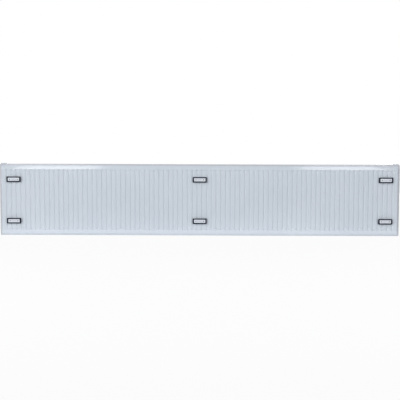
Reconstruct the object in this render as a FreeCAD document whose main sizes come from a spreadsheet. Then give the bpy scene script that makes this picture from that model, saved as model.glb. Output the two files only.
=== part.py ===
import FreeCAD, Part
import math
import os
import re
import Sketcher

# Double steel panel radiator, seen from the wall side along +Y.
# X runs along the length, Z is up, and the hanging lugs face -Y.
# The origin lies on the floor, in the middle of the footprint.

driving = {
    # both panels
    "panel_length": 2800,
    "panel_height": 500,
    "pair_depth": 100,
    "sheet_gauge": 1.2,
    "press_depth": 8.8,
    "seam_width": 12,
    "end_seam": 12,
    "corner_cut": 5,
    "header_foot": 33,
    "outer_draft": 40,
    "inner_draft": 20,
    # water columns pressed into the outer sheets
    "column_pitch": 33.3333333,
    "column_foot": 26,
    # convector fins between the panels
    "fin_gauge": 0.6,
    "fin_columns": 2,
    "fin_crest": 28,
    "fin_lean": 5,
    "fin_gap": 4,
    "fin_end_clearance": 5,
    "fin_side_room": 60,
    # tees that join the two panels and hold the pipe sockets
    "tee_height": 25,
    "tee_width": 30,
    "tee_chamfer": 4,
    "socket_setback": 15,
    "thread_minor_radius": 9.32,
    "thread_depth": 16,
    # side covers
    "cover_gauge": 1,
    "cover_inset": 8,
    "cover_floor_gap": 3,
    "cover_side_gap": 0.3,
    "cover_rise": 6,
    "cover_tab": 18,
    "cover_lip_gap": 0.4,
    "cover_return": 20,
    "cover_cutout": 35,
    # top grille
    "grille_gauge": 1,
    "grille_side_gap": 0.4,
    "grille_end_gap": 1,
    "grille_seat_gap": 0.3,
    "slot_pitch": 33.3333333,
    "slot_width": 22,
    "slot_length": 58,
    "slot_end_room": 12,
    # spring clips under the grille
    "clip_gauge": 0.8,
    "clip_width": 14,
    "clip_end": 173,
    "clip_drop": 24,
    "clip_gap": 0.3,
    # hanging lugs
    "lug_columns_in": 2,
    "lug_low": 102,
    "lug_drop": 108,
    "lug_width": 80,
    "lug_height": 22,
    "lug_gauge": 2.5,
    "lug_stand": 12,
    "lug_mouth": 55,
    "slit_length": 36,
    "slit_width": 2,
    # black hook guides round the lugs
    "guide_border": 8.5,
    "guide_bar_depth": 4.5,
    "guide_fit": 0.2,
    "guide_corner": 2.5,
    "guide_foot_gap": 0.5,
    # buffer studs on the lugs
    "stud_flats": 5.6,
    "stud_height": 1.2,
    "stud_spacing": 54,
    # plugs, seals and air vent
    "thread_fit": 0.12,
    "plug_shank": 13,
    "seal_thickness": 2,
    "seal_radius": 12.2,
    "seal_fit": 0.3,
    "hex_flats": 27,
    "hex_thickness": 4,
    "key_flats": 10,
    "key_depth": 8,
    "boss_radius": 7,
    "boss_length": 5,
    "bleed_radius": 4,
    "bleed_end": 5,
    "bleed_recess": 0.5,
    "bleed_square": 5,
    "bleed_square_length": 3.8,
    "running_fit": 0.05,
    "nozzle_flats": 19,
    "nozzle_length": 4.2,
    "nozzle_gap": 0.3,
    "spout_width": 5,
    "spout_reach": 3,
}

derived = {
    # the lugs and studs add depth at the rear only, and the origin is in the middle
    "centre_y": "(lug_stand + stud_height) / 2",
    "seam_offset": "pair_depth / 2 - sheet_gauge - press_depth",
    "seam_y": "centre_y - seam_offset",
    "crest_y": "centre_y - pair_depth / 2",
    "inner_face": "seam_offset - sheet_gauge",
    "inner_crest": "seam_offset - sheet_gauge - press_depth",
    # a mouth on the water side leaves one sheet gauge in every sloping wall
    "outer_inset": "sheet_gauge * (1 - sin(outer_draft)) / cos(outer_draft)",
    "inner_inset": "sheet_gauge * (1 - sin(inner_draft)) / cos(inner_draft)",
    "header_half": "panel_length / 2 - end_seam",
    "header_inner": "seam_width + header_foot",
    "header_centre": "seam_width + header_foot / 2",
    "outer_run": "press_depth * tan(outer_draft)",
    "inner_run": "press_depth * tan(inner_draft)",
    "column_side": "floor((header_half - column_foot / 2) / column_pitch)",
    "column_first": "0 - column_side * column_pitch",
    "valley_first": "column_first + column_pitch / 2",
    "fin_pitch": "fin_columns * column_pitch",
    "fin_count": "floor((panel_length - 2 * fin_side_room) / fin_pitch)",
    "fin_first": "0 - fin_count * fin_pitch / 2",
    "fin_low": "header_inner + fin_end_clearance",
    "fin_depth": "inner_face - fin_gap / 2",
    "fin_slope": "fin_lean / (fin_depth - fin_gauge)",
    "fin_mitre": "fin_gauge * (sqrt(1 + fin_slope ^ 2) - fin_slope)",
    "fin_land": "(fin_pitch - fin_crest - 2 * fin_lean) / 2",
    "socket_face": "panel_length / 2 - socket_setback",
    "cover_half": "inner_face - cover_side_gap",
    "cover_outer": "panel_length / 2 - cover_inset",
    "cover_inner": "cover_outer - cover_gauge",
    "cover_top": "panel_height + cover_rise",
    "grille_half": "inner_face - grille_side_gap",
    "grille_side": "cover_outer - cover_tab - grille_end_gap",
    "grille_lip": "panel_height - seam_width + grille_seat_gap",
    "slot_side": "floor((grille_side - slot_end_room - slot_width / 2) / slot_pitch)",
    "clip_step": "2 * (grille_side - clip_end) / 3",
    "clip_face": "grille_half - grille_gauge",
    "clip_leg": "inner_crest - clip_gap",
    "clip_knee": "panel_height - seam_width + 2 * clip_gauge",
    "clip_foot": "clip_knee - clip_drop",
    # the outer lugs sit on the columns, counted in from the last one
    "lug_step": "(column_side - lug_columns_in) * column_pitch",
    "lug_high": "panel_height - lug_drop",
    "guide_half": "lug_width / 2 + guide_border",
    "guide_rise": "lug_height / 2 + guide_border",
    "thread_radius": "thread_minor_radius - thread_fit",
    "hex_face": "seal_thickness + hex_thickness",
    "boss_end": "hex_face + boss_length",
    "bleed_face": "boss_end - bleed_recess",
}

doc = FreeCAD.newDocument("panel_radiator")
sizes = doc.addObject("Spreadsheet::Sheet", "sizes")
for row, (alias, number) in enumerate(driving.items(), start=1):
    sizes.set("A%d" % row, alias)
    sizes.set("B%d" % row, str(number))
    sizes.setAlias("B%d" % row, alias)
doc.recompute()

nodes = []


def formula(text):
    def linked(match):
        word = match.group(0)
        if word in derived:
            return "(" + formula(derived[word]) + ")"
        return "sizes." + word if word in driving else word

    return re.sub(r"[a-z_]+", linked, text)


def bind(item, **texts):
    for name, text in texts.items():
        item.setExpression(name.replace("__", "."), formula(text))


def origin_plane(body, role):
    return next(item for item in body.Origin.OriginFeatures if item.Role == role)


def make_body(label, x="0", y="0", z="0"):
    body = doc.addObject("PartDesign::Body", label)
    body.Label = label
    bind(body, Placement__Base__x=x, Placement__Base__y=y, Placement__Base__z=z)
    nodes.append(body)
    return body


def make_sketch(body, role, name, offset="0"):
    sketch = body.newObject("Sketcher::SketchObject", body.Label + "_" + name)
    sketch.AttachmentSupport = [(origin_plane(body, role), "")]
    sketch.MapMode = "FlatFace"
    bind(sketch, AttachmentOffset__Base__z=offset)
    return sketch


def pin(sketch, line, end, start_value, across, up):
    pairs = (("DistanceX", start_value.x, across), ("DistanceY", start_value.y, up))
    for kind, number, text in pairs:
        place = sketch.addConstraint(Sketcher.Constraint(kind, line, end, number))
        sketch.setExpression("Constraints[%d]" % place, formula(text))


def draw_polygon(sketch, corners):
    count = len(corners)
    first = sketch.GeometryCount
    angles = [2 * math.pi * place / count for place in range(count)]
    rough = [FreeCAD.Vector(math.cos(angle), math.sin(angle), 0) for angle in angles]
    for place in range(count):
        sketch.addGeometry(Part.LineSegment(rough[place], rough[(place + 1) % count]), False)
    for place in range(count):
        following = first + (place + 1) % count
        sketch.addConstraint(Sketcher.Constraint("Coincident", first + place, 2, following, 1))
    for place, (across, up) in enumerate(corners):
        pin(sketch, first + place, 1, rough[place], across, up)


def draw_rectangle(sketch, left, bottom, right, top):
    draw_polygon(sketch, [(left, bottom), (right, bottom), (right, top), (left, top)])


def draw_circle(sketch, radius, across="0", up="0"):
    centre = FreeCAD.Vector(1, 1, 0)
    line = sketch.addGeometry(Part.Circle(centre, FreeCAD.Vector(0, 0, 1), 1), False)
    place = sketch.addConstraint(Sketcher.Constraint("Radius", line, 1))
    sketch.setExpression("Constraints[%d]" % place, formula(radius))
    pin(sketch, line, 3, centre, across, up)


def draw_flats(sketch, flats, count, across="0", up="0"):
    radius = f"({flats}) / (2 * cos(180 / {count}))"
    turns = [f"{180 / count} + {360 * step / count}" for step in range(count)]
    corners = [(f"{across} + {radius} * cos({turn})", f"{up} + {radius} * sin({turn})") for turn in turns]
    draw_polygon(sketch, corners)


def add_feature(body, kind, sketch, length, backwards=False, midplane=False):
    feature = body.newObject("PartDesign::" + kind, sketch.Name + "_" + kind.lower())
    feature.Profile = sketch
    feature.Reversed = backwards
    feature.Midplane = midplane
    bind(feature, Length=length)
    body.Tip = feature
    return feature


def add_row(body, feature, step, count):
    pattern = body.newObject("PartDesign::LinearPattern", feature.Name + "_row")
    pattern.Originals = [feature]
    pattern.Direction = (origin_plane(body, "YZ_Plane"), [""])
    pattern.Mode = "Spacing"
    bind(pattern, Offset=step, Occurrences=count)
    body.Tip = pattern
    return pattern


def mirror_to_front(source, label):
    twin = doc.addObject("Part::Mirroring", label)
    twin.Label = label
    twin.Source = source
    twin.Normal = FreeCAD.Vector(0, 1, 0)
    bind(twin, Base__y="centre_y")
    nodes.append(twin)


def add_wedge(body, kind, name, start, start_box, end, end_box):
    feature = body.newObject("PartDesign::" + kind + "Wedge", body.Label + "_" + name)
    left, bottom, right, top = start_box
    bind(feature, Ymin=start, Xmin=left, Zmin=bottom, Xmax=right, Zmax=top)
    left, bottom, right, top = end_box
    bind(feature, Ymax=end, X2min=left, Z2min=bottom, X2max=right, Z2max=top)
    body.Tip = feature
    return feature


def shrunk(box, amount):
    left, bottom, right, top = box
    grow, less = f" + ({amount})", f" - ({amount})"
    return left + grow, bottom + grow, right + less, top + less


def pressed_field(low, high):
    return "0 - header_half", low, "header_half", high


def upright(middle, half, low):
    return f"{middle} - ({half})", low, f"{middle} + ({half})", f"panel_height - ({low})"


header_boxes = {
    "bottom_header": pressed_field("seam_width", "header_inner"),
    "top_header": pressed_field("panel_height - header_inner", "panel_height - seam_width"),
}


def draw_panel(sketch):
    side = "panel_length / 2"
    inset = "(panel_length / 2 - corner_cut)"
    shoulder = "panel_height - corner_cut"
    right_side = [(inset, "0"), (side, "corner_cut"), (side, shoulder), (inset, "panel_height")]
    left_side = [("0 - " + across, up) for across, up in reversed(right_side)]
    draw_polygon(sketch, right_side + left_side)


def outer_sheet(label):
    body = make_body(label, y="seam_y")
    flange = make_sketch(body, "XZ_Plane", "flange")
    draw_panel(flange)
    add_feature(body, "Pad", flange, "sheet_gauge")
    crest, foot = "0 - sheet_gauge - press_depth", "0 - sheet_gauge"
    field = pressed_field("seam_width", "panel_height - seam_width")
    add_wedge(body, "Additive", "field", crest, shrunk(field, "outer_run"), foot, field)
    # the valleys between the columns go down to the level of the seam flange
    floor = upright("valley_first", "(column_pitch - column_foot) / 2", "header_inner")
    mouth = shrunk(floor, "0 - outer_run")
    valley = add_wedge(body, "Subtractive", "valley", crest, mouth, foot, floor)
    add_row(body, valley, "column_pitch", "2 * column_side")
    # the water side follows the pressing, one gauge further in
    for name, box in header_boxes.items():
        mouth = shrunk(box, "outer_inset")
        roof = shrunk(mouth, "outer_run")
        add_wedge(body, "Subtractive", name, "0 - press_depth", roof, "0", mouth)
    mouth = upright("column_first", "column_foot / 2 - outer_inset", "header_centre")
    roof = shrunk(mouth, "outer_run")
    column = add_wedge(body, "Subtractive", "column", "0 - press_depth", roof, "0", mouth)
    add_row(body, column, "column_pitch", "2 * column_side + 1")
    return body


def inner_sheet(label):
    body = make_body(label, y="seam_y")
    web = make_sketch(body, "XZ_Plane", "web")
    draw_panel(web)
    add_feature(body, "Pad", web, "sheet_gauge", backwards=True)
    for name, box in header_boxes.items():
        crest = shrunk(box, "inner_run")
        add_wedge(body, "Additive", name, "sheet_gauge", box, "sheet_gauge + press_depth", crest)
    for name, box in header_boxes.items():
        mouth = shrunk(box, "inner_inset")
        roof = shrunk(mouth, "inner_run")
        add_wedge(body, "Subtractive", name + "_mouth", "0", mouth, "press_depth", roof)
    return body


def convector(label):
    body = make_body(label, x="fin_first", y="centre_y - inner_face", z="fin_low")
    wave = make_sketch(body, "XY_Plane", "wave")
    rise = "fin_land + fin_lean"
    fall = "fin_land + fin_lean + fin_crest"
    last = "fin_land + 2 * fin_lean + fin_crest"
    low_side = [
        ("0", "0"),
        ("fin_land", "0"),
        (rise, "fin_depth - fin_gauge"),
        (fall, "fin_depth - fin_gauge"),
        (last, "0"),
        ("fin_pitch", "0"),
    ]
    high_side = [
        ("fin_pitch", "fin_gauge"),
        (last + " + fin_mitre", "fin_gauge"),
        (fall + " + fin_mitre", "fin_depth"),
        (rise + " - fin_mitre", "fin_depth"),
        ("fin_land - fin_mitre", "fin_gauge"),
        ("0", "fin_gauge"),
    ]
    draw_polygon(wave, low_side + high_side)
    fin = add_feature(body, "Pad", wave, "panel_height - 2 * fin_low")
    add_row(body, fin, "fin_pitch", "fin_count")
    return body


def tee(label, side, z):
    body = make_body(label, x=f"{side} * socket_face", y="centre_y", z=z)
    block = make_sketch(body, "XZ_Plane", "block")
    inner = f"0 - {side} * tee_width"
    half = "tee_height / 2"
    cut = "(tee_height / 2 - tee_chamfer)"
    near = f"0 - {side} * tee_chamfer"
    far = f"0 - {side} * (tee_width - tee_chamfer)"
    outline = [
        (near, "0 - " + half),
        ("0", "0 - " + cut),
        ("0", cut),
        (near, half),
        (far, half),
        (inner, cut),
        (inner, "0 - " + cut),
        (far, "0 - " + half),
    ]
    draw_polygon(block, outline)
    add_feature(body, "Pad", block, "2 * inner_crest", midplane=True)
    thread = make_sketch(body, "YZ_Plane", "thread")
    draw_circle(thread, "thread_minor_radius")
    add_feature(body, "Pocket", thread, "thread_depth", backwards=side < 0)
    return body


def side_cover(label, side):
    body = make_body(label, y="centre_y")
    web = make_sketch(body, "YZ_Plane", "web", f"{side} * cover_inner")
    draw_rectangle(web, "0 - cover_half", "cover_floor_gap", "cover_half", "cover_top")
    add_feature(body, "Pad", web, "cover_gauge", backwards=side < 0)
    root = f"{side} * cover_inner"
    tab_tip = f"{side} * (cover_outer - cover_tab)"
    tab = make_sketch(body, "XZ_Plane", "tab")
    draw_rectangle(tab, tab_tip, "cover_top - cover_gauge", root, "cover_top")
    add_feature(body, "Pad", tab, "2 * cover_half", midplane=True)
    # returns between the panels, and lips under the tab that close its two sides
    return_tip = f"{side} * (cover_outer - cover_return)"
    lip_height = "cover_rise - cover_gauge - cover_lip_gap"
    folds = (
        ("returns", return_tip, "fin_low", "panel_height - 2 * fin_low"),
        ("lips", tab_tip, "panel_height + cover_lip_gap", lip_height),
    )
    for name, tip, low, height in folds:
        fold = make_sketch(body, "XY_Plane", name, low)
        for hand in ("", "0 - "):
            inner = hand + "(cover_half - cover_gauge)"
            draw_rectangle(fold, tip, inner, root, hand + "cover_half")
        add_feature(body, "Pad", fold, height)
    holes = make_sketch(body, "YZ_Plane", "holes", f"{side} * cover_outer")
    for up in ("header_centre", "panel_height - header_centre"):
        draw_flats(holes, "cover_cutout", 8, up=up)
    add_feature(body, "Pocket", holes, "2 * cover_gauge", backwards=side < 0)
    return body


def top_grille(label):
    body = make_body(label, y="centre_y")
    channel = make_sketch(body, "YZ_Plane", "channel")
    inner = "grille_half - grille_gauge"
    under = "panel_height - grille_gauge"
    outline = [
        ("0 - grille_half", "grille_lip"),
        ("0 - (" + inner + ")", "grille_lip"),
        ("0 - (" + inner + ")", under),
        (inner, under),
        (inner, "grille_lip"),
        ("grille_half", "grille_lip"),
        ("grille_half", "panel_height"),
        ("0 - grille_half", "panel_height"),
    ]
    draw_polygon(channel, outline)
    add_feature(body, "Pad", channel, "2 * grille_side", midplane=True)
    slot = make_sketch(body, "XY_Plane", "slot", "panel_height")
    first = "0 - slot_side * slot_pitch"
    half = "slot_width / 2"
    left = first + " - " + half
    draw_rectangle(slot, left, "0 - slot_length / 2", first + " + " + half, "slot_length / 2")
    cut = add_feature(body, "Pocket", slot, "2 * grille_gauge")
    add_row(body, cut, "slot_pitch", "2 * slot_side + 1")
    return body


def grille_clips(label):
    body = make_body(label, x="clip_end - grille_side", y="centre_y")
    strip = make_sketch(body, "YZ_Plane", "strip")
    for hand in ("", "0 - "):
        outline = [
            ("clip_face", "panel_height - grille_gauge"),
            ("clip_face", "clip_knee"),
            ("clip_leg", "clip_knee - clip_gauge"),
            ("clip_leg", "clip_foot"),
            ("clip_leg - clip_gauge", "clip_foot"),
            ("clip_leg - clip_gauge", "clip_knee"),
            ("clip_face - clip_gauge", "clip_knee + clip_gauge"),
            ("clip_face - clip_gauge", "panel_height - grille_gauge"),
        ]
        draw_polygon(strip, [(hand + "(" + across + ")", up) for across, up in outline])
    clip = add_feature(body, "Pad", strip, "clip_width", midplane=True)
    add_row(body, clip, "clip_step", "4")
    return body


def hanging_lug(label, x, z):
    body = make_body(label, x=x, y="crest_y", z=z)
    section = make_sketch(body, "XY_Plane", "section")
    half = "lug_width / 2"
    inner = "(lug_width / 2 - lug_gauge)"
    mouth = "lug_mouth / 2"
    face = "0 - lug_stand"
    back = "lug_gauge - lug_stand"
    right_side = [
        (half, face),
        (half, "0"),
        (mouth, "0"),
        (mouth, "0 - lug_gauge"),
        (inner, "0 - lug_gauge"),
        (inner, back),
    ]
    left_side = [("0 - " + across, up) for across, up in reversed(right_side)]
    draw_polygon(section, right_side + left_side)
    add_feature(body, "Pad", section, "lug_height", midplane=True)
    slit = make_sketch(body, "XZ_Plane", "slit", "lug_stand")
    end = "slit_length / 2"
    draw_rectangle(slit, "0 - " + end, "0 - slit_width / 2", end, "slit_width / 2")
    add_feature(body, "Pocket", slit, "lug_stand")
    return body


def hook_guide(label, x, z):
    body = make_body(label, x=x, y="crest_y", z=z)
    window = ["0 - ({0})", "0 - ({1})", "{0}", "{1}"]
    opening = [text.format("lug_width / 2 + guide_fit", "lug_height / 2 + guide_fit") for text in window]
    frame = make_sketch(body, "XZ_Plane", "frame", "lug_stand - guide_bar_depth")
    cut_x = "(guide_half - guide_corner)"
    cut_z = "(guide_rise - guide_corner)"
    outline = [
        ("guide_half", "0 - " + cut_z),
        ("guide_half", cut_z),
        (cut_x, "guide_rise"),
        ("0 - " + cut_x, "guide_rise"),
        ("0 - guide_half", cut_z),
        ("0 - guide_half", "0 - " + cut_z),
        ("0 - " + cut_x, "0 - guide_rise"),
        (cut_x, "0 - guide_rise"),
    ]
    draw_polygon(frame, outline)
    draw_rectangle(frame, *opening)
    add_feature(body, "Pad", frame, "guide_bar_depth")
    # the short sides reach back to the columns, the long bars leave the hook's way open
    sides = make_sketch(body, "XZ_Plane", "sides", "lug_stand - guide_bar_depth")
    for hand in ("", "0 - "):
        near = hand + "(lug_width / 2 + guide_fit)"
        draw_rectangle(sides, near, "0 - " + cut_z, hand + "guide_half", cut_z)
    depth = "lug_stand - guide_bar_depth - guide_foot_gap"
    add_feature(body, "Pad", sides, depth, backwards=True)
    return body


def buffer_studs(label):
    body = make_body(label, x="0 - lug_step", y="crest_y - lug_stand")
    studs = make_sketch(body, "XZ_Plane", "studs")
    for across in ("stud_spacing / 2", "0 - stud_spacing / 2"):
        for up in ("lug_low", "lug_high"):
            draw_flats(studs, "stud_flats", 6, across, up)
    pad = add_feature(body, "Pad", studs, "stud_height")
    add_row(body, pad, "lug_step", "3")
    return body


def plug_seals(label):
    body = make_body(label, x="socket_face", y="centre_y")
    rings = make_sketch(body, "YZ_Plane", "rings")
    for up in ("header_centre", "panel_height - header_centre"):
        draw_flats(rings, "2 * seal_radius", 16, up=up)
        draw_flats(rings, "2 * (thread_radius + seal_fit)", 16, up=up)
    add_feature(body, "Pad", rings, "seal_thickness")
    return body


def plug_blank(label, z):
    body = make_body(label, x="socket_face", y="centre_y", z=z)
    shank = make_sketch(body, "YZ_Plane", "shank", "0 - plug_shank")
    draw_circle(shank, "thread_radius")
    add_feature(body, "Pad", shank, "plug_shank + hex_face")
    head = make_sketch(body, "YZ_Plane", "head", "seal_thickness")
    draw_flats(head, "hex_flats", 6)
    add_feature(body, "Pad", head, "hex_thickness")
    return body


def blanking_plug(label, z):
    body = plug_blank(label, z)
    key = make_sketch(body, "YZ_Plane", "key", "hex_face")
    draw_flats(key, "key_flats", 6)
    add_feature(body, "Pocket", key, "key_depth")
    return body


def vent_plug(label, z):
    body = plug_blank(label, z)
    boss = make_sketch(body, "YZ_Plane", "boss", "hex_face")
    draw_circle(boss, "boss_radius")
    add_feature(body, "Pad", boss, "boss_length")
    bore = make_sketch(body, "YZ_Plane", "bore", "boss_end")
    draw_circle(bore, "bleed_radius + running_fit")
    add_feature(body, "Pocket", bore, "boss_end + plug_shank + boss_length")
    return body


def bleed_spindle(label, z):
    body = make_body(label, x="socket_face", y="centre_y", z=z)
    stem = make_sketch(body, "YZ_Plane", "stem", "bleed_end - plug_shank")
    draw_circle(stem, "bleed_radius")
    add_feature(body, "Pad", stem, "bleed_face + plug_shank - bleed_end")
    square = make_sketch(body, "YZ_Plane", "square", "bleed_face")
    half = "bleed_square / 2"
    draw_rectangle(square, "0 - " + half, "0 - " + half, half, half)
    add_feature(body, "Pad", square, "bleed_square_length")
    return body


def vent_nozzle(label, z):
    body = make_body(label, x="socket_face", y="centre_y", z=z)
    start = "hex_face + nozzle_gap"
    spout = make_sketch(body, "YZ_Plane", "spout", start)
    half = "spout_width / 2"
    low = "0 - nozzle_flats / 2 - spout_reach"
    draw_rectangle(spout, "0 - " + half, low, half, "0 - boss_radius - spout_reach / 2")
    add_feature(body, "Pad", spout, "nozzle_length")
    ring = make_sketch(body, "YZ_Plane", "ring", start)
    draw_flats(ring, "nozzle_flats", 8)
    draw_circle(ring, "boss_radius + running_fit")
    add_feature(body, "Pad", ring, "nozzle_length")
    return body


low_header = "header_centre"
high_header = "panel_height - header_centre"

rear_outer = outer_sheet("rear_outer_sheet")
rear_inner = inner_sheet("rear_inner_sheet")
rear_fins = convector("rear_convector")
mirror_to_front(rear_outer, "front_outer_sheet")
mirror_to_front(rear_inner, "front_inner_sheet")
mirror_to_front(rear_fins, "front_convector")

for hand, side in (("left", -1), ("right", 1)):
    side_cover("side_cover_" + hand, side)
    tee("tee_bottom_" + hand, side, low_header)
    tee("tee_top_" + hand, side, high_header)

top_grille("top_grille")
grille_clips("grille_clips")

for hand, x in (("left", "0 - lug_step"), ("centre", "0"), ("right", "lug_step")):
    for level, z in (("lower", "lug_low"), ("upper", "lug_high")):
        hanging_lug("lug_" + level + "_" + hand, x, z)
        hook_guide("hook_guide_" + level + "_" + hand, x, z)
buffer_studs("buffer_studs")

plug_seals("plug_seals")
blanking_plug("blanking_plug", low_header)
vent_plug("vent_plug", high_header)
bleed_spindle("bleed_spindle", high_header)
vent_nozzle("vent_nozzle", high_header)

doc.recompute()

for item in doc.Objects:
    if "Invalid" in item.State or "Error" in item.State:
        raise RuntimeError(item.Label + " did not compute")
for node in nodes:
    if node.Shape.isNull() or not node.Shape.isValid():
        raise RuntimeError(node.Label + " has no valid shape")

os.makedirs("parts", exist_ok=True)
for node in nodes:
    node.Shape.exportStep("parts/" + node.Label + ".step")
    print(node.Label, len(node.Shape.Solids), "solids", round(node.Shape.Volume / 1000, 2), "cm3")
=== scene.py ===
from math import copysign, cos, hypot, pi, radians, sin, sqrt

import bmesh
import bpy
from mathutils import Matrix, Vector


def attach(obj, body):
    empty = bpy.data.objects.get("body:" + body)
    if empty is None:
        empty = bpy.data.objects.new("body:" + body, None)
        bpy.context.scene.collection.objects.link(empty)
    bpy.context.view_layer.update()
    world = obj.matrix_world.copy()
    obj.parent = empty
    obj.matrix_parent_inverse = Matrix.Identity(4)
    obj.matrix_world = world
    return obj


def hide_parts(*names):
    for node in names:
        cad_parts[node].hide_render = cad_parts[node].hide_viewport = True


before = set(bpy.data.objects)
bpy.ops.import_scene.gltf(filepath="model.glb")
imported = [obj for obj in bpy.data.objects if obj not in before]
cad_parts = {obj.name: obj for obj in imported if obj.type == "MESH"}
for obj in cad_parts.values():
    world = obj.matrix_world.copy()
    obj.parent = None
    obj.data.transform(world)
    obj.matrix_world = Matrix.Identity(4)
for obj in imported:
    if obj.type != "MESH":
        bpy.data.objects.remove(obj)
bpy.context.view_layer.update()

mm = 0.001
pairCentre = 6.6 * mm        # middle plane between the two panels, on Y
hair = 0.02 * mm             # corners nearer than this are one
loose = 0.1 * mm             # wider slack, for the ends of rows and the rims of slots
reach = 2 * mm               # how far a cutter goes beyond what it cuts
overlap = 1 * mm             # how far a piece goes into the one that it is welded to
rodSides, ringSides = 40, 48


# small helpers for working by hand

def deselectAll():
    if bpy.context.object and bpy.context.object.mode != "OBJECT":
        bpy.ops.object.mode_set(mode="OBJECT")
    bpy.ops.object.select_all(action="DESELECT")


def only(piece):
    deselectAll()
    piece.select_set(True)
    bpy.context.view_layer.objects.active = piece


def named(name):
    piece = bpy.context.object
    piece.name = piece.data.name = name
    return piece


def settle(piece):
    only(piece)
    bpy.ops.object.transform_apply(location=True, rotation=True, scale=True)


def startPlate(name, middle, turn, wide, tall):
    deselectAll()
    bpy.ops.mesh.primitive_plane_add(size=1, location=middle, rotation=turn)
    piece = named(name)
    piece.scale = (wide, tall, 1)
    settle(piece)
    return piece


def startBlock(name, low, high):
    deselectAll()
    middle = [(a + b) / 2 for a, b in zip(low, high)]
    bpy.ops.mesh.primitive_cube_add(size=1, location=middle)
    piece = named(name)
    piece.scale = [b - a for a, b in zip(low, high)]
    settle(piece)
    return piece


def startRod(name, sides, radius, nearEnd, farEnd, up, twist=0.0):
    deselectAll()                # a rod along X on the sockets' axis
    bpy.ops.mesh.primitive_cylinder_add(vertices=sides, radius=radius, depth=farEnd - nearEnd,
                                        location=((nearEnd + farEnd) / 2, pairCentre, up))
    piece = named(name)
    piece.rotation_euler = Matrix.Rotation(pi / 2, 3, "Y").to_euler()
    settle(piece)
    if twist:
        turnAbout(piece, "X", twist, (0, pairCentre, up))
    return piece


def turnAbout(piece, axis, angle, centre):
    middle = Vector(centre)
    spin = Matrix.Translation(middle) @ Matrix.Rotation(angle, 4, axis) @ Matrix.Translation(-middle)
    piece.matrix_world = spin @ piece.matrix_world
    settle(piece)


def openEdit(piece):
    only(piece)
    bpy.ops.object.mode_set(mode="EDIT")


def closeEdit():
    bpy.ops.object.mode_set(mode="OBJECT")


def pick(piece, kind, test):
    bpy.ops.mesh.select_mode(type=kind)
    bpy.ops.mesh.select_all(action="DESELECT")
    cage = bmesh.from_edit_mesh(piece.data)
    parts = {"VERT": cage.verts, "EDGE": cage.edges, "FACE": cage.faces}[kind]
    for part in parts:
        if test(part):
            part.select_set(True)
    cage.select_flush_mode()
    bmesh.update_edit_mesh(piece.data)


def edgeMiddle(edge):
    return (edge.verts[0].co + edge.verts[1].co) / 2


def near(a, b, slack=hair):
    return abs(a - b) < slack


def edgesAt(axis, place, slack=hair):
    return lambda edge: all(near(getattr(v.co, axis), place, slack) for v in edge.verts)


def cutAcross(place, direction):
    bpy.ops.mesh.select_all(action="SELECT")
    bpy.ops.mesh.bisect(plane_co=place, plane_no=direction)


def pull(move):
    bpy.ops.mesh.extrude_edges_move(TRANSFORM_OT_translate={"value": move})


def raiseFaces(move):
    bpy.ops.mesh.extrude_region_move(TRANSFORM_OT_translate={"value": move})


def roundEdges(width, steps):
    bpy.ops.mesh.bevel(offset=width, offset_type="OFFSET", segments=steps, affect="EDGES")


def outward():
    bpy.ops.mesh.select_all(action="SELECT")
    bpy.ops.mesh.normals_make_consistent(inside=False)


def finishWith(piece, kind, **settings):
    only(piece)
    layer = piece.modifiers.new(kind.title(), kind)
    for name, value in settings.items():
        setattr(layer, name, value)
    bpy.ops.object.modifier_apply(modifier=layer.name)


def thicken(piece, gauge):
    finishWith(piece, "SOLIDIFY", thickness=gauge, offset=-1)


def softenEdges(piece, width, angle):
    finishWith(piece, "BEVEL", width=width, segments=2, limit_method="ANGLE", angle_limit=radians(angle))


def setInRow(piece, count, step):
    finishWith(piece, "ARRAY", count=count, use_relative_offset=False, use_constant_offset=True,
               constant_offset_displace=(step, 0, 0), use_merge_vertices=True, merge_threshold=hair)


def copyPiece(piece, name, move=(0, 0, 0)):
    only(piece)
    bpy.ops.object.duplicate(linked=False)
    twin = named(name)
    twin.location = move
    settle(twin)
    return twin


def takeAway(piece, cutter):
    finishWith(piece, "BOOLEAN", operation="DIFFERENCE", solver="EXACT", object=cutter)
    bpy.data.objects.remove(cutter, do_unlink=True)


def drill(piece, sides, radius, nearEnd, farEnd, up):
    takeAway(piece, startRod("drill", sides, radius, nearEnd - reach, farEnd + reach, up))


def weldOn(piece, other):
    finishWith(piece, "BOOLEAN", operation="UNION", solver="EXACT", object=other)
    bpy.data.objects.remove(other, do_unlink=True)


def joinInto(piece, others):
    only(piece)
    for other in others:
        other.select_set(True)
    bpy.ops.object.join()
    return piece


def handOver(piece, body, finish, nodes, angle=35):
    settle(piece)
    bpy.ops.object.shade_smooth_by_angle(angle=radians(angle))
    piece.data.materials.clear()
    piece.data.materials.append(finish)
    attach(piece, body)
    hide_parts(*nodes)


# finishes

def startFinish(name):
    finish = bpy.data.materials.new(name)
    finish.use_nodes = True
    tree = finish.node_tree
    tree.nodes.clear()
    shader = tree.nodes.new("ShaderNodeBsdfPrincipled")
    output = tree.nodes.new("ShaderNodeOutputMaterial")
    tree.links.new(shader.outputs["BSDF"], output.inputs["Surface"])
    return finish, tree, shader


def addSpeckle(tree, scale, detail=3.0, stretch=None):
    place = tree.nodes.new("ShaderNodeTexCoord")
    source = place.outputs["Object"]
    if stretch:
        mapping = tree.nodes.new("ShaderNodeMapping")
        mapping.inputs["Scale"].default_value = stretch
        tree.links.new(source, mapping.inputs["Vector"])
        source = mapping.outputs["Vector"]
    noise = tree.nodes.new("ShaderNodeTexNoise")
    noise.inputs["Scale"].default_value = scale
    noise.inputs["Detail"].default_value = detail
    tree.links.new(source, noise.inputs["Vector"])
    return noise.outputs["Fac"]


speckleRange = (0.3, 0.7)        # the noise seldom goes beyond these


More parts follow.
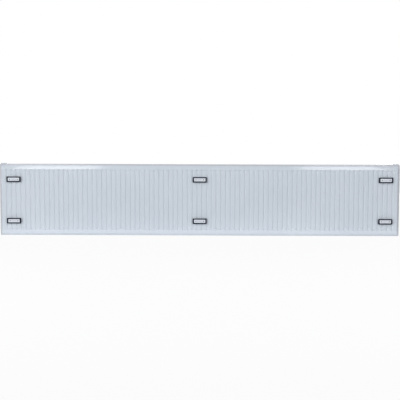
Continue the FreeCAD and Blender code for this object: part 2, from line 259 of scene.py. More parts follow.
def addTint(tree, shader, factor, dark, light):
    ramp = tree.nodes.new("ShaderNodeValToRGB")
    for stop, place, colour in zip(ramp.color_ramp.elements, speckleRange, (dark, light)):
        stop.position = place
        stop.color = (*colour, 1)
    tree.links.new(factor, ramp.inputs["Fac"])
    tree.links.new(ramp.outputs["Color"], shader.inputs["Base Color"])


def addGloss(tree, shader, factor, low, high):
    spread = tree.nodes.new("ShaderNodeMapRange")
    spread.inputs["From Min"].default_value = speckleRange[0]
    spread.inputs["From Max"].default_value = speckleRange[1]
    spread.inputs["To Min"].default_value = low
    spread.inputs["To Max"].default_value = high
    tree.links.new(factor, spread.inputs["Value"])
    tree.links.new(spread.outputs["Result"], shader.inputs["Roughness"])


def addBump(tree, shader, height, strength, distance):
    bump = tree.nodes.new("ShaderNodeBump")
    bump.inputs["Strength"].default_value = strength
    bump.inputs["Distance"].default_value = distance
    tree.links.new(height, bump.inputs["Height"])
    tree.links.new(bump.outputs["Normal"], shader.inputs["Normal"])


# each look has mottled colour, smeared gloss and a fine grain, all in lumps per metre

def makeFinish(name, look):
    finish, tree, shader = startFinish(name)
    shader.inputs["Metallic"].default_value = look.get("metal", 0.0)
    shader.inputs["Specular IOR Level"].default_value = look.get("shine", 0.5)
    mottle = addSpeckle(tree, look["mottle"], stretch=look.get("mottleStretch"))
    addTint(tree, shader, mottle, look["dark"], look["light"])
    smear = addSpeckle(tree, look["smear"], stretch=look.get("smearStretch"))
    addGloss(tree, shader, smear, *look["gloss"])
    grain = addSpeckle(tree, look["grain"], look.get("grainDetail", 3.0), look.get("grainStretch"))
    addBump(tree, shader, grain, look["grainStrength"], look["grainDepth"])
    return finish


enamelLook = {
    "dark": (0.602, 0.658, 0.726),
    "light": (0.642, 0.694, 0.762),
    "mottle": 2.2,
    "gloss": (0.10, 0.15),
    "smear": 9,
    "grain": 420,            # orange peel
    "grainDetail": 1.5,
    "grainStrength": 0.12,
    "grainDepth": 0.05 * mm,
}

seamShadeLook = {
    "colour": (0.525, 0.545, 0.590),         # painted shade: greyer, darker colour on the seam flanges where shade falls
    "ends": (1385.5 * mm, 1390.5 * mm),      # where it starts and where it is full
    "top": (489.5 * mm, 492 * mm),
    "bottom": (10.5 * mm, 8 * mm),
    "bottomShare": 0.15,
}


def addBand(tree, source, limits, share):
    band = tree.nodes.new("ShaderNodeMapRange")
    band.inputs["From Min"].default_value = limits[0]
    band.inputs["From Max"].default_value = limits[1]
    band.inputs["To Max"].default_value = share
    tree.links.new(source, band.inputs["Value"])
    return band.outputs["Result"]


def addMath(tree, operation, *sources):
    step = tree.nodes.new("ShaderNodeMath")
    step.operation = operation
    for place, source in enumerate(sources):
        tree.links.new(source, step.inputs[place])
    return step.outputs["Value"]


def makePanelEnamel():
    finish = makeFinish("panelEnamel", enamelLook)
    tree = finish.node_tree
    shader = tree.nodes["Principled BSDF"]
    place = tree.nodes.new("ShaderNodeTexCoord")
    axes = tree.nodes.new("ShaderNodeSeparateXYZ")
    tree.links.new(place.outputs["Object"], axes.inputs["Vector"])
    along = addMath(tree, "ABSOLUTE", axes.outputs["X"])
    ends = addBand(tree, along, seamShadeLook["ends"], 1.0)
    top = addBand(tree, axes.outputs["Z"], seamShadeLook["top"], 1.0)
    bottom = addBand(tree, axes.outputs["Z"], seamShadeLook["bottom"], seamShadeLook["bottomShare"])
    # painted shade along the seam flanges: full at the ends and top, a small share at the bottom
    seam = addMath(tree, "MAXIMUM", addMath(tree, "MAXIMUM", ends, top), bottom)
    blend = tree.nodes.new("ShaderNodeMix")
    blend.data_type = "RGBA"
    plainCoat, shadeCoat = blend.inputs[6], blend.inputs[7]       # the colour sockets of the node
    mixedCoat = blend.outputs[2]
    tree.links.new(seam, blend.inputs["Factor"])
    tree.links.new(shader.inputs["Base Color"].links[0].from_socket, plainCoat)
    shadeCoat.default_value = (*seamShadeLook["colour"], 1)
    tree.links.new(mixedCoat, shader.inputs["Base Color"])
    return finish


# painted light: the lugs' enamel is the panel's white made lighter, to offset the shade inside the hook
# guides
litLugLook = {
    "dark": (0.700, 0.740, 0.806),
    "light": (0.752, 0.794, 0.860),
    "mottle": 30,
    "gloss": (0.16, 0.24),
    "smear": 40,
    "grain": 600,
    "grainDetail": 1.5,
    "grainStrength": 0.12,
    "grainDepth": 0.04 * mm,
}

finLook = {                  # thin dipped coat inside
    "dark": (0.50, 0.54, 0.58),
    "light": (0.60, 0.64, 0.68),
    "mottle": 14,
    "mottleStretch": (1, 1, 0.2),
    "gloss": (0.30, 0.42),
    "smear": 25,
    "grain": 300,
    "grainStrength": 0.15,
    "grainDepth": 0.06 * mm,
}

guideLook = {
    "dark": (0.004, 0.008, 0.016),
    "light": (0.008, 0.014, 0.025),
    "mottle": 60,
    "gloss": (0.42, 0.55),
    "smear": 200,
    "shine": 0.12,
    "grain": 1400,
    "grainDetail": 4,
    "grainStrength": 0.35,
    "grainDepth": 0.08 * mm,
}

rubberLook = {
    "dark": (0.014, 0.014, 0.015),
    "light": (0.030, 0.030, 0.032),
    "mottle": 900,
    "gloss": (0.62, 0.80),
    "smear": 500,
    "grain": 1800,
    "grainStrength": 0.3,
    "grainDepth": 0.06 * mm,
}

steelLook = {                # drawn spring steel
    "metal": 1.0,
    "dark": (0.46, 0.47, 0.48),
    "light": (0.60, 0.61, 0.62),
    "mottle": 90,
    "gloss": (0.28, 0.44),
    "smear": 160,
    "smearStretch": (1, 1, 0.1),
    "grain": 700,
    "grainStretch": (1, 1, 0.05),
    "grainStrength": 0.2,
    "grainDepth": 0.03 * mm,
}

nickelLook = {
    "metal": 1.0,
    "dark": (0.58, 0.56, 0.52),
    "light": (0.68, 0.66, 0.62),
    "mottle": 120,
    "gloss": (0.16, 0.30),
    "smear": 260,
    "grain": 1500,
    "grainStrength": 0.12,
    "grainDepth": 0.03 * mm,
}

brassLook = {                # with the marks of turning
    "metal": 1.0,
    "dark": (0.60, 0.42, 0.16),
    "light": (0.74, 0.55, 0.24),
    "mottle": 200,
    "gloss": (0.20, 0.36),
    "smear": 300,
    "grain": 1500,
    "grainStretch": (0.1, 1, 1),
    "grainStrength": 0.15,
    "grainDepth": 0.03 * mm,
}

nozzleLook = {
    "dark": (0.70, 0.71, 0.71),
    "light": (0.78, 0.79, 0.79),
    "mottle": 150,
    "gloss": (0.34, 0.46),
    "smear": 220,
    "grain": 1600,
    "grainDetail": 4,
    "grainStrength": 0.2,
    "grainDepth": 0.05 * mm,
}

enamel = makeFinish("whiteEnamel", enamelLook)
panelEnamel = makePanelEnamel()
lugEnamel = makeFinish("lugEnamel", litLugLook)
finEnamel = makeFinish("finEnamel", finLook)
guidePlastic = makeFinish("guidePlastic", guideLook)
studRubber = makeFinish("studRubber", rubberLook)
clipSteel = makeFinish("clipSteel", steelLook)
plugNickel = makeFinish("plugNickel", nickelLook)
spindleBrass = makeFinish("spindleBrass", brassLook)
nozzlePlastic = makeFinish("nozzlePlastic", nozzleLook)

slotFinish = {
    "white_enamel": enamel,
    "convector_enamel": finEnamel,
    "black_plastic": guidePlastic,
    "black_rubber": studRubber,
    "spring_steel": clipSteel,
    "nickelled_brass": plugNickel,
    "bare_brass": spindleBrass,
    "white_plastic": nozzlePlastic,
}
print("finishes ready for", len(slotFinish), "slots")


# pressed panels: one water column is pressed, then set in a row

panelShape = {
    "pitch": 33.3333333 * mm,
    "columns": 83,
    "height": 500 * mm,
    "halfLength": 1400 * mm,
    "flangeFace": -34.6 * mm,
    "gauge": 1.2 * mm,
    "crest": 8.8 * mm,
    # seam track and header roll: distance from the panel's edge and height, in mm
    "track": ((0, 0), (3.6, 0), (4.8, -0.35), (6, 0)),
    "roll": ((9.2, 0), (10.4, 0.35), (11.6, 1.5), (13, 2.7), (15.5, 3.55), (19, 4.5),
             (23, 5.5), (27, 6.48), (31, 7.4), (35, 8.24), (36.6, 8.5), (38.2, 8.69), (40.5, 8.8)),
    # cuts that the grooves need, further in from the edge and aside from a column's middle
    "grooveRows": (42.3, 44.2, 46.2, 48.4, 51, 54.5, 59, 64.5, 71),
    "across": (7.6, 10.4, 12.4, 14.4, 16.2),
    # groove between two columns: sizes along it, and in the wells at its rounded ends
    "grooveHalf": (6.3 * mm, 8.6 * mm),
    "grooveFloor": (0.5 * mm, 3.4 * mm),
    "grooveDepth": (4 * mm, 4.9 * mm),
    "grooveTip": 35.5 * mm,
    "grooveRound": 13 * mm,
    "wellRun": 18 * mm,
    # end of the headers: step outwards and share of the height left
    "endSteps": ((1.6, 0.86), (2.6, 0.50), (2.6, 0.14), (1.2, 0.0)),
    "corner": 10 * mm,
    "smoothTo": 62,          # sharper edges, in degrees, stay sharp
}


def ease(share):
    share = min(max(share, 0.0), 1.0)
    return share * share * (3 - 2 * share)


def rollHeight(edge):
    steps = panelShape["track"] + panelShape["roll"]
    for (nearEdge, nearRise), (farEdge, farRise) in zip(steps, steps[1:]):
        if edge < farEdge * mm + hair:
            share = (edge / mm - nearEdge) / (farEdge - nearEdge)
            return (nearRise + share * (farRise - nearRise)) * mm
    return panelShape["crest"]


def grooveFall(across, edge):
    fullFrom = panelShape["grooveTip"] + panelShape["grooveRound"]
    well = 1 - ease((edge - fullFrom) / panelShape["wellRun"])
    sizes = (panelShape[name] for name in ("grooveHalf", "grooveFloor", "grooveDepth"))
    half, floor, depth = (plain + well * (deep - plain) for plain, deep in sizes)
    aside = panelShape["pitch"] / 2 - abs(across)
    short = max(0, fullFrom - edge) * half / panelShape["grooveRound"]
    return depth * ease((half - hypot(aside, short)) / (half - floor))


def pressColumn(name, outerSide=0):
    pitch, height = panelShape["pitch"], panelShape["height"]
    tile = startPlate(name, (0, panelShape["flangeFace"], height / 2), (pi / 2, 0, 0), pitch, height)
    openEdit(tile)
    for step in panelShape["across"]:
        for side in (-1, 1):
            cutAcross((side * step * mm, 0, 0), (1, 0, 0))
    rows = [edge for edge, rise in panelShape["track"][1:] + panelShape["roll"]]
    for row in (*rows, *panelShape["grooveRows"]):
        cutAcross((0, 0, row * mm), (0, 0, 1))
        cutAcross((0, 0, height - row * mm), (0, 0, 1))
    closeEdit()
    for corner in tile.data.vertices:        # the press comes down on the flat blank
        edge = min(corner.co.z, height - corner.co.z)
        corner.co.y -= rollHeight(edge)
        if corner.co.x * outerSide <= 0:     # an end column has no groove beyond it
            corner.co.y += grooveFall(corner.co.x, edge)
    tile.location.x = outerSide * pitch * (panelShape["columns"] - 1) / 2
    settle(tile)
    return tile


def closePanelEnds(panel):
    pitch, count = panelShape["pitch"], panelShape["columns"]
    flange = panelShape["flangeFace"]
    rowEnd = pitch * count / 2
    openEdit(panel)
    for side in (-1, 1):
        pick(panel, "EDGE", edgesAt("x", side * rowEnd, loose))
        at, left = rowEnd, 1.0
        for step, share in panelShape["endSteps"]:
            pull((side * step * mm, 0, 0))
            bpy.ops.transform.resize(value=(1, share / left, 1), center_override=(0, flange, 0))
            at, left = at + step * mm, share
        sunk = 0
        for edge, rise in reversed(panelShape["track"]):         # the seam track runs on round the end
            far = panelShape["halfLength"] - edge * mm
            pull((side * (far - at), (sunk - rise) * mm, 0))
            at, sunk = far, rise
    closeEdit()


def roundCorners(panel):
    radius, middle = panelShape["corner"], panelShape["height"] / 2
    alongStart, upStart = panelShape["halfLength"] - radius, middle - radius
    for corner in panel.data.vertices:
        along = abs(corner.co.x) - alongStart
        up = abs(corner.co.z - middle) - upStart
        if along > 0 and up > 0:         # the square end of the blank becomes a quarter disc
            turned = along * sqrt(1 - (up / radius) ** 2 / 2)
            raised = up * sqrt(1 - (along / radius) ** 2 / 2)
            corner.co.x = copysign(alongStart + turned, corner.co.x)
            corner.co.z = middle + copysign(upStart + raised, corner.co.z - middle)


def makePanels():
    pitch, count = panelShape["pitch"], panelShape["columns"]
    rear = pressColumn("rearPanel")
    rear.location.x = -pitch * (count - 3) / 2
    settle(rear)
    setInRow(rear, count - 2, pitch)
    joinInto(rear, [pressColumn("endColumn", side) for side in (-1, 1)])
    openEdit(rear)
    bpy.ops.mesh.select_all(action="SELECT")
    bpy.ops.mesh.remove_doubles(threshold=hair)
    closeEdit()
    closePanelEnds(rear)
    roundCorners(rear)
    front = copyPiece(rear, "frontPanel")
    turnAbout(front, "Z", pi, (0, pairCentre, 0))
    for panel, node in ((rear, "rear_outer_sheet"), (front, "front_outer_sheet")):
        thicken(panel, panelShape["gauge"])
        handOver(panel, "radiator", panelEnamel, [node], angle=panelShape["smoothTo"])
    print("panels pressed:", len(rear.data.polygons), "faces each")


makePanels()


# hanging lugs, hook guides and buffer studs on the wall side

lugShape = {
    "places": {"left": -1300 * mm, "centre": 0.0, "right": 1300 * mm},
    "levels": {"lower": 102 * mm, "upper": 392 * mm},
    "width": 80 * mm,
    "height": 22 * mm,
    "face": -55.4 * mm,
    "seat": -43.4 * mm,
    "foot": 12.5 * mm,
    "gauge": 2.5 * mm,
    "bend": 2.4 * mm,
    "slit": (36 * mm, 2 * mm),
    "slitEnd": 0.9 * mm,
    "edge": 0.35 * mm,
}


def bendLug():
    half = lugShape["width"] / 2
    face, seat = lugShape["face"], lugShape["seat"]
    lug = startPlate("lug", (0, face, 0), (pi / 2, 0, 0), lugShape["width"], lugShape["height"])
    openEdit(lug)
    for side in (-1, 1):
        pick(lug, "EDGE", edgesAt("x", side * half))
        pull((0, seat - face, 0))
        pull((-side * lugShape["foot"], 0, 0))
    pick(lug, "EDGE", lambda edge: all(near(abs(v.co.x), half) for v in edge.verts)
         and near(edge.verts[0].co.y, edge.verts[1].co.y))
    roundEdges(lugShape["bend"], 4)
    closeEdit()
    thicken(lug, lugShape["gauge"])
    long, thin = lugShape["slit"]
    cutter = startBlock("slitCutter", (-long / 2, face - reach, -thin / 2),
                        (long / 2, face + lugShape["gauge"] + reach, thin / 2))
    openEdit(cutter)
    pick(cutter, "EDGE", lambda edge: near(abs(edgeMiddle(edge).x), long / 2)
         and near(abs(edgeMiddle(edge).z), thin / 2))
    roundEdges(lugShape["slitEnd"], 3)
    closeEdit()
    takeAway(lug, cutter)
    softenEdges(lug, lugShape["edge"], 50)
    return lug


guideShape = {
    "outer": (97 * mm, 39 * mm),
    "border": 8.3 * mm,
    "face": -55.4 * mm,
    "bar": 4.5 * mm,
    "back": -43.9 * mm,
    "corner": 3.6 * mm,
    "edge": 0.7 * mm,
}


def mouldGuide():
    wide, tall = guideShape["outer"]
    face = guideShape["face"]
    guide = startPlate("guide", (0, face, 0), (pi / 2, 0, 0), wide, tall)
    openEdit(guide)
    bpy.ops.mesh.select_all(action="SELECT")
    bpy.ops.mesh.inset(thickness=guideShape["border"], use_even_offset=True)
    bpy.ops.mesh.delete(type="FACE")
    bpy.ops.mesh.select_mode(type="FACE")
    bpy.ops.mesh.select_all(action="SELECT")
    raiseFaces((0, guideShape["bar"], 0))
    outward()
    barBack = face + guideShape["bar"]
    window = wide / 2 - guideShape["border"]
    pick(guide, "FACE", lambda f: near(f.calc_center_median().y, barBack)
         and abs(f.calc_center_median().x) > window)
    raiseFaces((0, guideShape["back"] - barBack, 0))
    pick(guide, "EDGE", lambda edge: near(abs(edgeMiddle(edge).x), wide / 2)
         and near(abs(edgeMiddle(edge).z), tall / 2))
    roundEdges(guideShape["corner"], 4)
    outward()
    closeEdit()
    softenEdges(guide, guideShape["edge"], 40)
    return guide


studShape = {
    "sides": 28,
    "radius": 3.0 * mm,
    "rise": 1.2 * mm,
    "apart": 54 * mm,
    "rim": 0.5 * mm,
    "edge": 0.45 * mm,
}


def mouldStud():
    deselectAll()
    radius, rise, face = studShape["radius"], studShape["rise"], lugShape["face"]
    bpy.ops.mesh.primitive_cylinder_add(vertices=studShape["sides"], radius=radius, depth=rise,
                                        location=(0, face - rise / 2, 0), rotation=(pi / 2, 0, 0))
    stud = named("bufferStuds")
    settle(stud)
    openEdit(stud)
    pick(stud, "FACE", lambda f: f.normal.y < -0.9)
    bpy.ops.mesh.inset(thickness=studShape["rim"])
    onFace = edgesAt("y", face - rise)
    pick(stud, "EDGE", lambda edge: onFace(edge)
         and hypot(edgeMiddle(edge).x, edgeMiddle(edge).z) > radius - studShape["rim"] / 4)
    roundEdges(studShape["edge"], 3)
    closeEdit()
    return stud


def hangLugs():
    lugStart, guideStart, studStart = bendLug(), mouldGuide(), mouldStud()
    studs = []
    for level, up in lugShape["levels"].items():
        for hand, along in lugShape["places"].items():
            ending = level + "_" + hand
            lug = copyPiece(lugStart, "hangingLug_" + ending, (along, 0, up))
            handOver(lug, "radiator", lugEnamel, ["lug_" + ending])
            guide = copyPiece(guideStart, "hookGuide_" + ending, (along, 0, up))
            handOver(guide, "radiator", guidePlastic, ["hook_guide_" + ending])
            for side in (-1, 1):
                spot = (along + side * studShape["apart"] / 2, 0, up)
                studs.append(copyPiece(studStart, "stud", spot))
    for start in (lugStart, guideStart, studStart):
        bpy.data.objects.remove(start, do_unlink=True)
    allStuds = joinInto(studs[0], studs[1:])
    allStuds.name = allStuds.data.name = "bufferStuds"
    handOver(allStuds, "radiator", studRubber, ["buffer_studs"])
    print("lugs hung:", len(lugShape["places"]) * len(lugShape["levels"]))


hangLugs()


# top grille, one slot pressed and set in a row

grilleShape = {
    "pitch": 33.3333333 * mm,
    "slots": 81,
    "side": 1373 * mm,
    "slot": (22 * mm, 58 * mm),
    "half": 38.4 * mm,
    "top": 500 * mm,
    "lipEnd": 488.3 * mm,
    "gauge": 1 * mm,
    "slotCorner": 4 * mm,
    "turnDown": 1.3 * mm,
    "drawIn": 0.8 * mm,          # how much narrower the slot is at its lower rim
    "bend": 1.8 * mm,
    "smoothTo": 50,
}


def pressGrille():
    pitch, count = grilleShape["pitch"], grilleShape["slots"]
    top, half = grilleShape["top"], grilleShape["half"]
    wide, long = grilleShape["slot"]
    start = -pitch * (count - 1) / 2
    middle = (start, pairCentre, top)
    grille = startPlate("topGrille", middle, (0, 0, 0), pitch, 2 * half)
    openEdit(grille)
    bpy.ops.mesh.select_all(action="SELECT")
    rim = (pitch - wide) / 2
    bpy.ops.mesh.inset(thickness=rim, use_even_offset=True)
    stretch = long / (2 * half - 2 * rim)
    bpy.ops.transform.resize(value=(1, stretch, 1), center_override=middle)
    pick(grille, "VERT", lambda v: abs(v.co.x - start) < wide / 2 + loose)
    bpy.ops.mesh.bevel(offset=grilleShape["slotCorner"], segments=3, affect="VERTICES")
    pick(grille, "FACE", lambda f: (f.calc_center_median() - Vector(middle)).length < loose)
    bpy.ops.mesh.delete(type="FACE")
    pick(grille, "EDGE", lambda edge: edge.is_boundary
         and abs(edgeMiddle(edge).x - start) < wide / 2 + loose
         and abs(edgeMiddle(edge).y - pairCentre) < long / 2 + loose)
    pull((0, 0, -grilleShape["turnDown"]))
    drawIn = grilleShape["drawIn"]
    bpy.ops.transform.resize(value=(1 - drawIn / wide, 1 - drawIn / long, 1),
                             center_override=(start, pairCentre, top - grilleShape["turnDown"]))
    closeEdit()
    setInRow(grille, count, pitch)
    openEdit(grille)
    rowEnd = pitch * count / 2
    for side in (-1, 1):
        pick(grille, "EDGE", edgesAt("x", side * rowEnd, loose))
        pull((side * (grilleShape["side"] - rowEnd), 0, 0))
    for side in (-1, 1):
        pick(grille, "EDGE", edgesAt("y", pairCentre + side * half))
        pull((0, 0, grilleShape["lipEnd"] - top))
    pick(grille, "EDGE", lambda edge: all(near(abs(v.co.y - pairCentre), half) and near(v.co.z, top)
                                          for v in edge.verts))
    roundEdges(grilleShape["bend"], 3)
    closeEdit()
    thicken(grille, grilleShape["gauge"])
    handOver(grille, "grille", enamel, ["top_grille"], angle=grilleShape["smoothTo"])
    print("grille pressed:", count, "slots")


pressGrille()


# side covers, folded from one blank each

coverShape = {
    "face": 1392 * mm,
    "low": 3 * mm,
    "high": 506 * mm,
    "half": 38.5 * mm,
    "returns": (50 * mm, 450 * mm),
    "returnDepth": 20 * mm,
    "tab": 18 * mm,
    "lipEnd": 500.4 * mm,
    "gauge": 1 * mm,
    "bend": 1.8 * mm,
    "cutOut": 17.5 * mm,
    "sockets": (28.5 * mm, 471.5 * mm),
    "smoothTo": 50,
}


def foldCovers():
    face, low, high = coverShape["face"], coverShape["low"], coverShape["high"]
    half, span, gauge = coverShape["half"], coverShape["returns"], coverShape["gauge"]
    right = startPlate("sideCover_right", (face, pairCentre, (low + high) / 2), (0, pi / 2, 0),
                       high - low, 2 * half)
    openEdit(right)
    for level in span:
        cutAcross((0, 0, level), (0, 0, 1))

    def onFold(edge):
        middle = edgeMiddle(edge)
        return (near(middle.x, face) and near(abs(middle.y - pairCentre), half)
                and span[0] < middle.z < span[1])

    atTop = edgesAt("z", high)
    pick(right, "EDGE", onFold)
    pull((-coverShape["returnDepth"], 0, 0))
    pick(right, "EDGE", atTop)
    pull((-coverShape["tab"], 0, 0))
    pick(right, "EDGE", lambda edge: edge.is_boundary and atTop(edge))
    pull((0, 0, coverShape["lipEnd"] - high))
    pick(right, "EDGE", lambda edge: onFold(edge) or not edge.is_boundary and atTop(edge))
    roundEdges(coverShape["bend"], 3)
    closeEdit()
    thicken(right, gauge)
    for up in coverShape["sockets"]:
        drill(right, ringSides, coverShape["cutOut"], face - gauge, face + gauge, up)
    left = copyPiece(right, "sideCover_left")
    turnAbout(left, "Z", pi, (0, pairCentre, 0))
    for cover, hand in ((right, "right"), (left, "left")):
        handOver(cover, "radiator", enamel, ["side_cover_" + hand],
                 angle=coverShape["smoothTo"])
    print("side covers folded")


foldCovers()


# plugs and air vent at the right end

plugShape = {
    "blankUp": 28.5 * mm,
    "ventUp": 471.5 * mm,
    "shank": (1372 * mm, 1387 * mm),
    "shankRadius": 9.2 * mm,
    "shankEdge": 1.2 * mm,
    "hex": (1387 * mm, 1391 * mm),
    "hexFlats": 27 * mm,
    "hexRim": 0.6 * mm,
    "hexEdge": 0.8 * mm,
    "keyFlats": 10 * mm,
    "keyDepth": 8 * mm,
    "boss": (1391 * mm, 1396 * mm),
    "bossRadius": 7 * mm,
    "bossEdge": 0.5 * mm,
    "bore": 4.05 * mm,
    "seal": (1385 * mm, 1387 * mm),
    "sealRadii": (9.5 * mm, 12.2 * mm),
    "sealEdge": 0.4 * mm,
}


def roundEnd(rod, place, width, steps=2):
    openEdit(rod)
    pick(rod, "EDGE", edgesAt("x", place))
    roundEdges(width, steps)
    closeEdit()


def turnPlug(name, up):
    nearEnd, farEnd = plugShape["hex"]
    plug = startRod(name, 6, plugShape["hexFlats"] / sqrt(3), nearEnd, farEnd, up, twist=pi / 6)
    openEdit(plug)
    pick(plug, "FACE", lambda f: f.normal.x < -0.9)
    bpy.ops.mesh.inset(thickness=plugShape["hexRim"])
    closeEdit()
    roundEnd(plug, farEnd, plugShape["hexEdge"])
    shankStart, shankEnd = plugShape["shank"]
    shank = startRod("plugShank", rodSides, plugShape["shankRadius"], shankStart, shankEnd + overlap, up)
    roundEnd(shank, shankStart, plugShape["shankEdge"])
    weldOn(plug, shank)
    return plug


def makeSeals():
    nearEnd, farEnd = plugShape["seal"]
    inner, outer = plugShape["sealRadii"]
    rings = []
    for up in (plugShape["blankUp"], plugShape["ventUp"]):
        ring = startRod("plugSeals", ringSides, outer, nearEnd, farEnd, up)
        drill(ring, ringSides, inner, nearEnd, farEnd, up)
        softenEdges(ring, plugShape["sealEdge"], 60)
        rings.append(ring)
    seals = joinInto(rings[0], rings[1:])
    handOver(seals, "radiator", studRubber, ["plug_seals"])


def makePlugs():
    makeSeals()
    blank = turnPlug("blankingPlug", plugShape["blankUp"])
    hexEnd = plugShape["hex"][1]
    key = startRod("keyCutter", 6, plugShape["keyFlats"] / sqrt(3), hexEnd - plugShape["keyDepth"],
                   hexEnd + reach, plugShape["blankUp"])
    takeAway(blank, key)
    handOver(blank, "radiator", plugNickel, ["blanking_plug"])

    up = plugShape["ventUp"]
    vent = turnPlug("ventPlug", up)
    bossStart, bossEnd = plugShape["boss"]
    boss = startRod("ventBoss", ringSides, plugShape["bossRadius"], bossStart - overlap, bossEnd, up)
    roundEnd(boss, bossEnd, plugShape["bossEdge"])
    weldOn(vent, boss)
    drill(vent, rodSides, plugShape["bore"], plugShape["shank"][0], bossEnd, up)
    handOver(vent, "radiator", plugNickel, ["vent_plug"])
    print("plugs turned")


makePlugs()


nozzleShape = {
    "span": (1391.3 * mm, 1395.5 * mm),
    "radius": 9.4 * mm,
    "bore": 7.05 * mm,
    "spout": (7.65 * mm, 12.4 * mm),     # where it starts and ends below the axis
    "spoutWidth": 5 * mm,
    "spoutWall": 1.1 * mm,
    "spoutHole": 2 * mm,
    "edge": 0.6 * mm,
}


def mouldNozzle():
    nearEnd, farEnd = nozzleShape["span"]
    up = plugShape["ventUp"]
    nozzle = startRod("ventNozzle", ringSides, nozzleShape["radius"], nearEnd, farEnd, up)
    root, drop = nozzleShape["spout"]
    half = nozzleShape["spoutWidth"] / 2
    spout = startBlock("spout", (nearEnd, pairCentre - half, up - drop),
                       (farEnd, pairCentre + half, up - root))
    openEdit(spout)
    pick(spout, "FACE", lambda f: f.normal.z < -0.9)
    bpy.ops.mesh.inset(thickness=nozzleShape["spoutWall"])
    raiseFaces((0, 0, nozzleShape["spoutHole"]))
    closeEdit()
    weldOn(nozzle, spout)
    drill(nozzle, ringSides, nozzleShape["bore"], nearEnd, farEnd, up)
    softenEdges(nozzle, nozzleShape["edge"], 60)
    handOver(nozzle, "nozzle", nozzlePlastic, ["vent_nozzle"])
    print("nozzle moulded")


mouldNozzle()


spindleShape = {
    "stem": (1377 * mm, 1395.5 * mm),
    "radius": 4 * mm,
    "tip": 1.6 * mm,
    "shoulder": 0.4 * mm,
    "square": 5 * mm,
    "squareEnd": 1399.3 * mm,
    "squareRim": 0.7 * mm,
    "squareEdge": 0.45 * mm,
}


def turnSpindle():
    nearEnd, farEnd = spindleShape["stem"]
    up, half, squareEnd = plugShape["ventUp"], spindleShape["square"] / 2, spindleShape["squareEnd"]
    spindle = startRod("bleedSpindle", rodSides, spindleShape["radius"], nearEnd, farEnd, up)
    roundEnd(spindle, nearEnd, spindleShape["tip"], 1)
    roundEnd(spindle, farEnd, spindleShape["shoulder"])
    square = startBlock("keySquare", (farEnd - overlap, pairCentre - half, up - half),
                        (squareEnd, pairCentre + half, up + half))

    def onRim(v):
        return near(v.co.x, squareEnd) and max(abs(v.co.y - pairCentre), abs(v.co.z - up)) > half - loose

    openEdit(square)
    pick(square, "FACE", lambda f: f.normal.x > 0.9)
    bpy.ops.mesh.inset(thickness=spindleShape["squareRim"])
    pick(square, "EDGE", lambda edge: all(onRim(v) for v in edge.verts)
         or not near(edge.verts[0].co.x, edge.verts[1].co.x))
    roundEdges(spindleShape["squareEdge"], 2)
    closeEdit()
    weldOn(spindle, square)
    handOver(spindle, "bleed", spindleBrass, ["bleed_spindle"])
    print("spindle turned")


turnSpindle()


# CAD nodes that stay as they are get their finish

def dressNodes():
    dressed = 0
    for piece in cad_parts.values():
        for slot in piece.material_slots:
            slot.material = slotFinish[slot.material.name.split(".")[0]]
        dressed += not piece.hide_render
    print("CAD nodes dressed:", dressed)


dressNodes()


# studio

studioLook = {
    "worldColour": (0.97, 0.985, 1.0),
    "worldLevel": 0.30,
    "floorSize": 40,
    "floorDrop": 1 * mm,
    "floorColour": (0.90, 0.90, 0.90),
    "floorGlow": 0.92,                           # share of plain white, the rest is paper with shadows
    "boxSize": (0.94, 2.0),
    "boxAway": 3.2,
    "boxLift": 27,
    "boxAlong": 1.685,
    "boxAim": 0.985,                             # how far along the header it points
    "boxGlow": {"softBoxLeft": 5.8, "softBoxRight": 5.3},
    "bounceSize": (2.9, 0.12),
    "bounceUp": 2 * mm,
    "bounceGlow": 0.40,
    "fillSize": (3.6, 2.2),
    "wallFill": ((-9.0, -5.6, 1.2), 8.7),        # place and glow
    "roomFill": ((4.5, 5.6, 1.6), 11.5),
    "endFill": ((-6.2, 2.8, 1.2), 3.2),
    "cameraDistance": 4.5,
    "cameraLift": 3.3,
    "cameraRoll": 0.18,
    "cameraAside": 1.75 * mm,
    "viewAngle": 34.65,
}


def seenDirectly(tree):
    path = tree.nodes.new("ShaderNodeLightPath")
    seen = path.outputs["Is Camera Ray"]
    for kind in ("Is Glossy Ray", "Is Transmission Ray"):
        seen = addMath(tree, "MAXIMUM", seen, path.outputs[kind])
    return seen


def setWorld():
    world = bpy.data.worlds.new("studioWorld")
    bpy.context.scene.world = world
    world.use_nodes = True
    tree = world.node_tree
    tree.nodes.clear()
    output = tree.nodes.new("ShaderNodeOutputWorld")
    mixed = tree.nodes.new("ShaderNodeMixShader")
    soft = tree.nodes.new("ShaderNodeBackground")
    soft.inputs["Color"].default_value = (*studioLook["worldColour"], 1)
    soft.inputs["Strength"].default_value = studioLook["worldLevel"]
    white = tree.nodes.new("ShaderNodeBackground")
    white.inputs["Color"].default_value = (1, 1, 1, 1)
    white.inputs["Strength"].default_value = 1.0
    tree.links.new(seenDirectly(tree), mixed.inputs["Fac"])
    tree.links.new(soft.outputs["Background"], mixed.inputs[1])
    tree.links.new(white.outputs["Background"], mixed.inputs[2])
    tree.links.new(mixed.outputs["Shader"], output.inputs["Surface"])


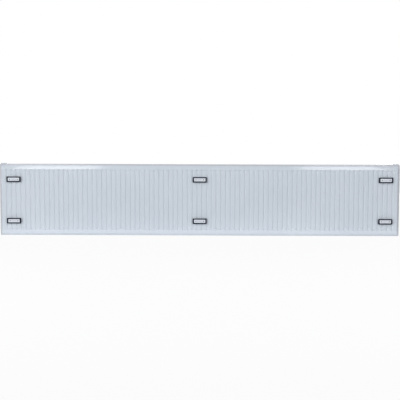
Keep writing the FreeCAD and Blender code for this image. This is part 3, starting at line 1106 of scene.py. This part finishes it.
def layFloor():
    size = studioLook["floorSize"]
    floor = startPlate("studioFloor", (0, 0, -studioLook["floorDrop"]), (0, 0, 0), size, size)
    finish = bpy.data.materials.new("floorPaper")
    finish.use_nodes = True
    tree = finish.node_tree
    tree.nodes.clear()
    output = tree.nodes.new("ShaderNodeOutputMaterial")
    paper = tree.nodes.new("ShaderNodeBsdfDiffuse")
    paper.inputs["Color"].default_value = (*studioLook["floorColour"], 1)
    glow = tree.nodes.new("ShaderNodeEmission")
    glow.inputs["Strength"].default_value = 1.0
    share = tree.nodes.new("ShaderNodeMath")
    share.operation = "MULTIPLY"
    share.inputs[1].default_value = studioLook["floorGlow"]
    mixed = tree.nodes.new("ShaderNodeMixShader")
    tree.links.new(seenDirectly(tree), share.inputs[0])
    tree.links.new(share.outputs["Value"], mixed.inputs["Fac"])
    tree.links.new(paper.outputs["BSDF"], mixed.inputs[1])
    tree.links.new(glow.outputs["Emission"], mixed.inputs[2])
    tree.links.new(mixed.outputs["Shader"], output.inputs["Surface"])
    floor.data.materials.append(finish)


def addLamp(name, size, glow, place, target):
    lamp = bpy.data.lights.new(name, "AREA")
    lamp.shape = "RECTANGLE"
    lamp.size, lamp.size_y = size
    lamp.energy = glow * pi * size[0] * size[1]
    box = bpy.data.objects.new(name, lamp)
    bpy.context.scene.collection.objects.link(box)
    box.location = place
    box.rotation_euler = (Vector(target) - Vector(place)).to_track_quat("-Z", "Y").to_euler()
    box.visible_camera = False
    return box


def hangLamps():
    away, lift = studioLook["boxAway"], radians(studioLook["boxLift"])
    header = Vector((0, panelShape["flangeFace"], panelShape["height"]))
    for side, name in ((-1, "softBoxLeft"), (1, "softBoxRight")):
        place = header + Vector((side * studioLook["boxAlong"], -away * cos(lift), away * sin(lift)))
        target = header + Vector((side * studioLook["boxAim"], 0, 0))
        addLamp(name, studioLook["boxSize"], studioLook["boxGlow"][name], place, target)
    wide, deep = studioLook["bounceSize"]
    front = panelShape["flangeFace"] - panelShape["crest"]
    nearFloor = Vector((0, front - deep / 2, studioLook["bounceUp"]))
    above = nearFloor + Vector((0, 0, 1))
    addLamp("floorBounce", (wide, deep), studioLook["bounceGlow"], nearFloor, above)
    middle = (0, 0, panelShape["height"] / 2)
    for name in ("wallFill", "roomFill", "endFill"):     # broad and low, all round
        place, glow = studioLook[name]
        fill = addLamp(name, studioLook["fillSize"], glow, place, middle)
        fill.visible_glossy = name != "wallFill"         # or it streaks the upper flutes


def setCamera():
    lens = bpy.data.cameras.new("photoCamera")
    lens.sensor_fit = "HORIZONTAL"
    lens.angle = radians(studioLook["viewAngle"])
    camera = bpy.data.objects.new("photoCamera", lens)
    bpy.context.scene.collection.objects.link(camera)
    target = Vector((studioLook["cameraAside"], panelShape["flangeFace"], panelShape["height"] / 2))
    lift, away = radians(studioLook["cameraLift"]), studioLook["cameraDistance"]
    camera.location = target + Vector((0, -away * cos(lift), away * sin(lift)))
    aim = (target - camera.location).to_track_quat("-Z", "Y").to_matrix()
    roll = Matrix.Rotation(radians(studioLook["cameraRoll"]), 3, "Z")
    camera.rotation_euler = (aim @ roll).to_euler()
    bpy.context.scene.camera = camera


setWorld()
layFloor()
hangLamps()
setCamera()
bpy.context.scene.view_settings.view_transform = "Standard"
print("studio set")
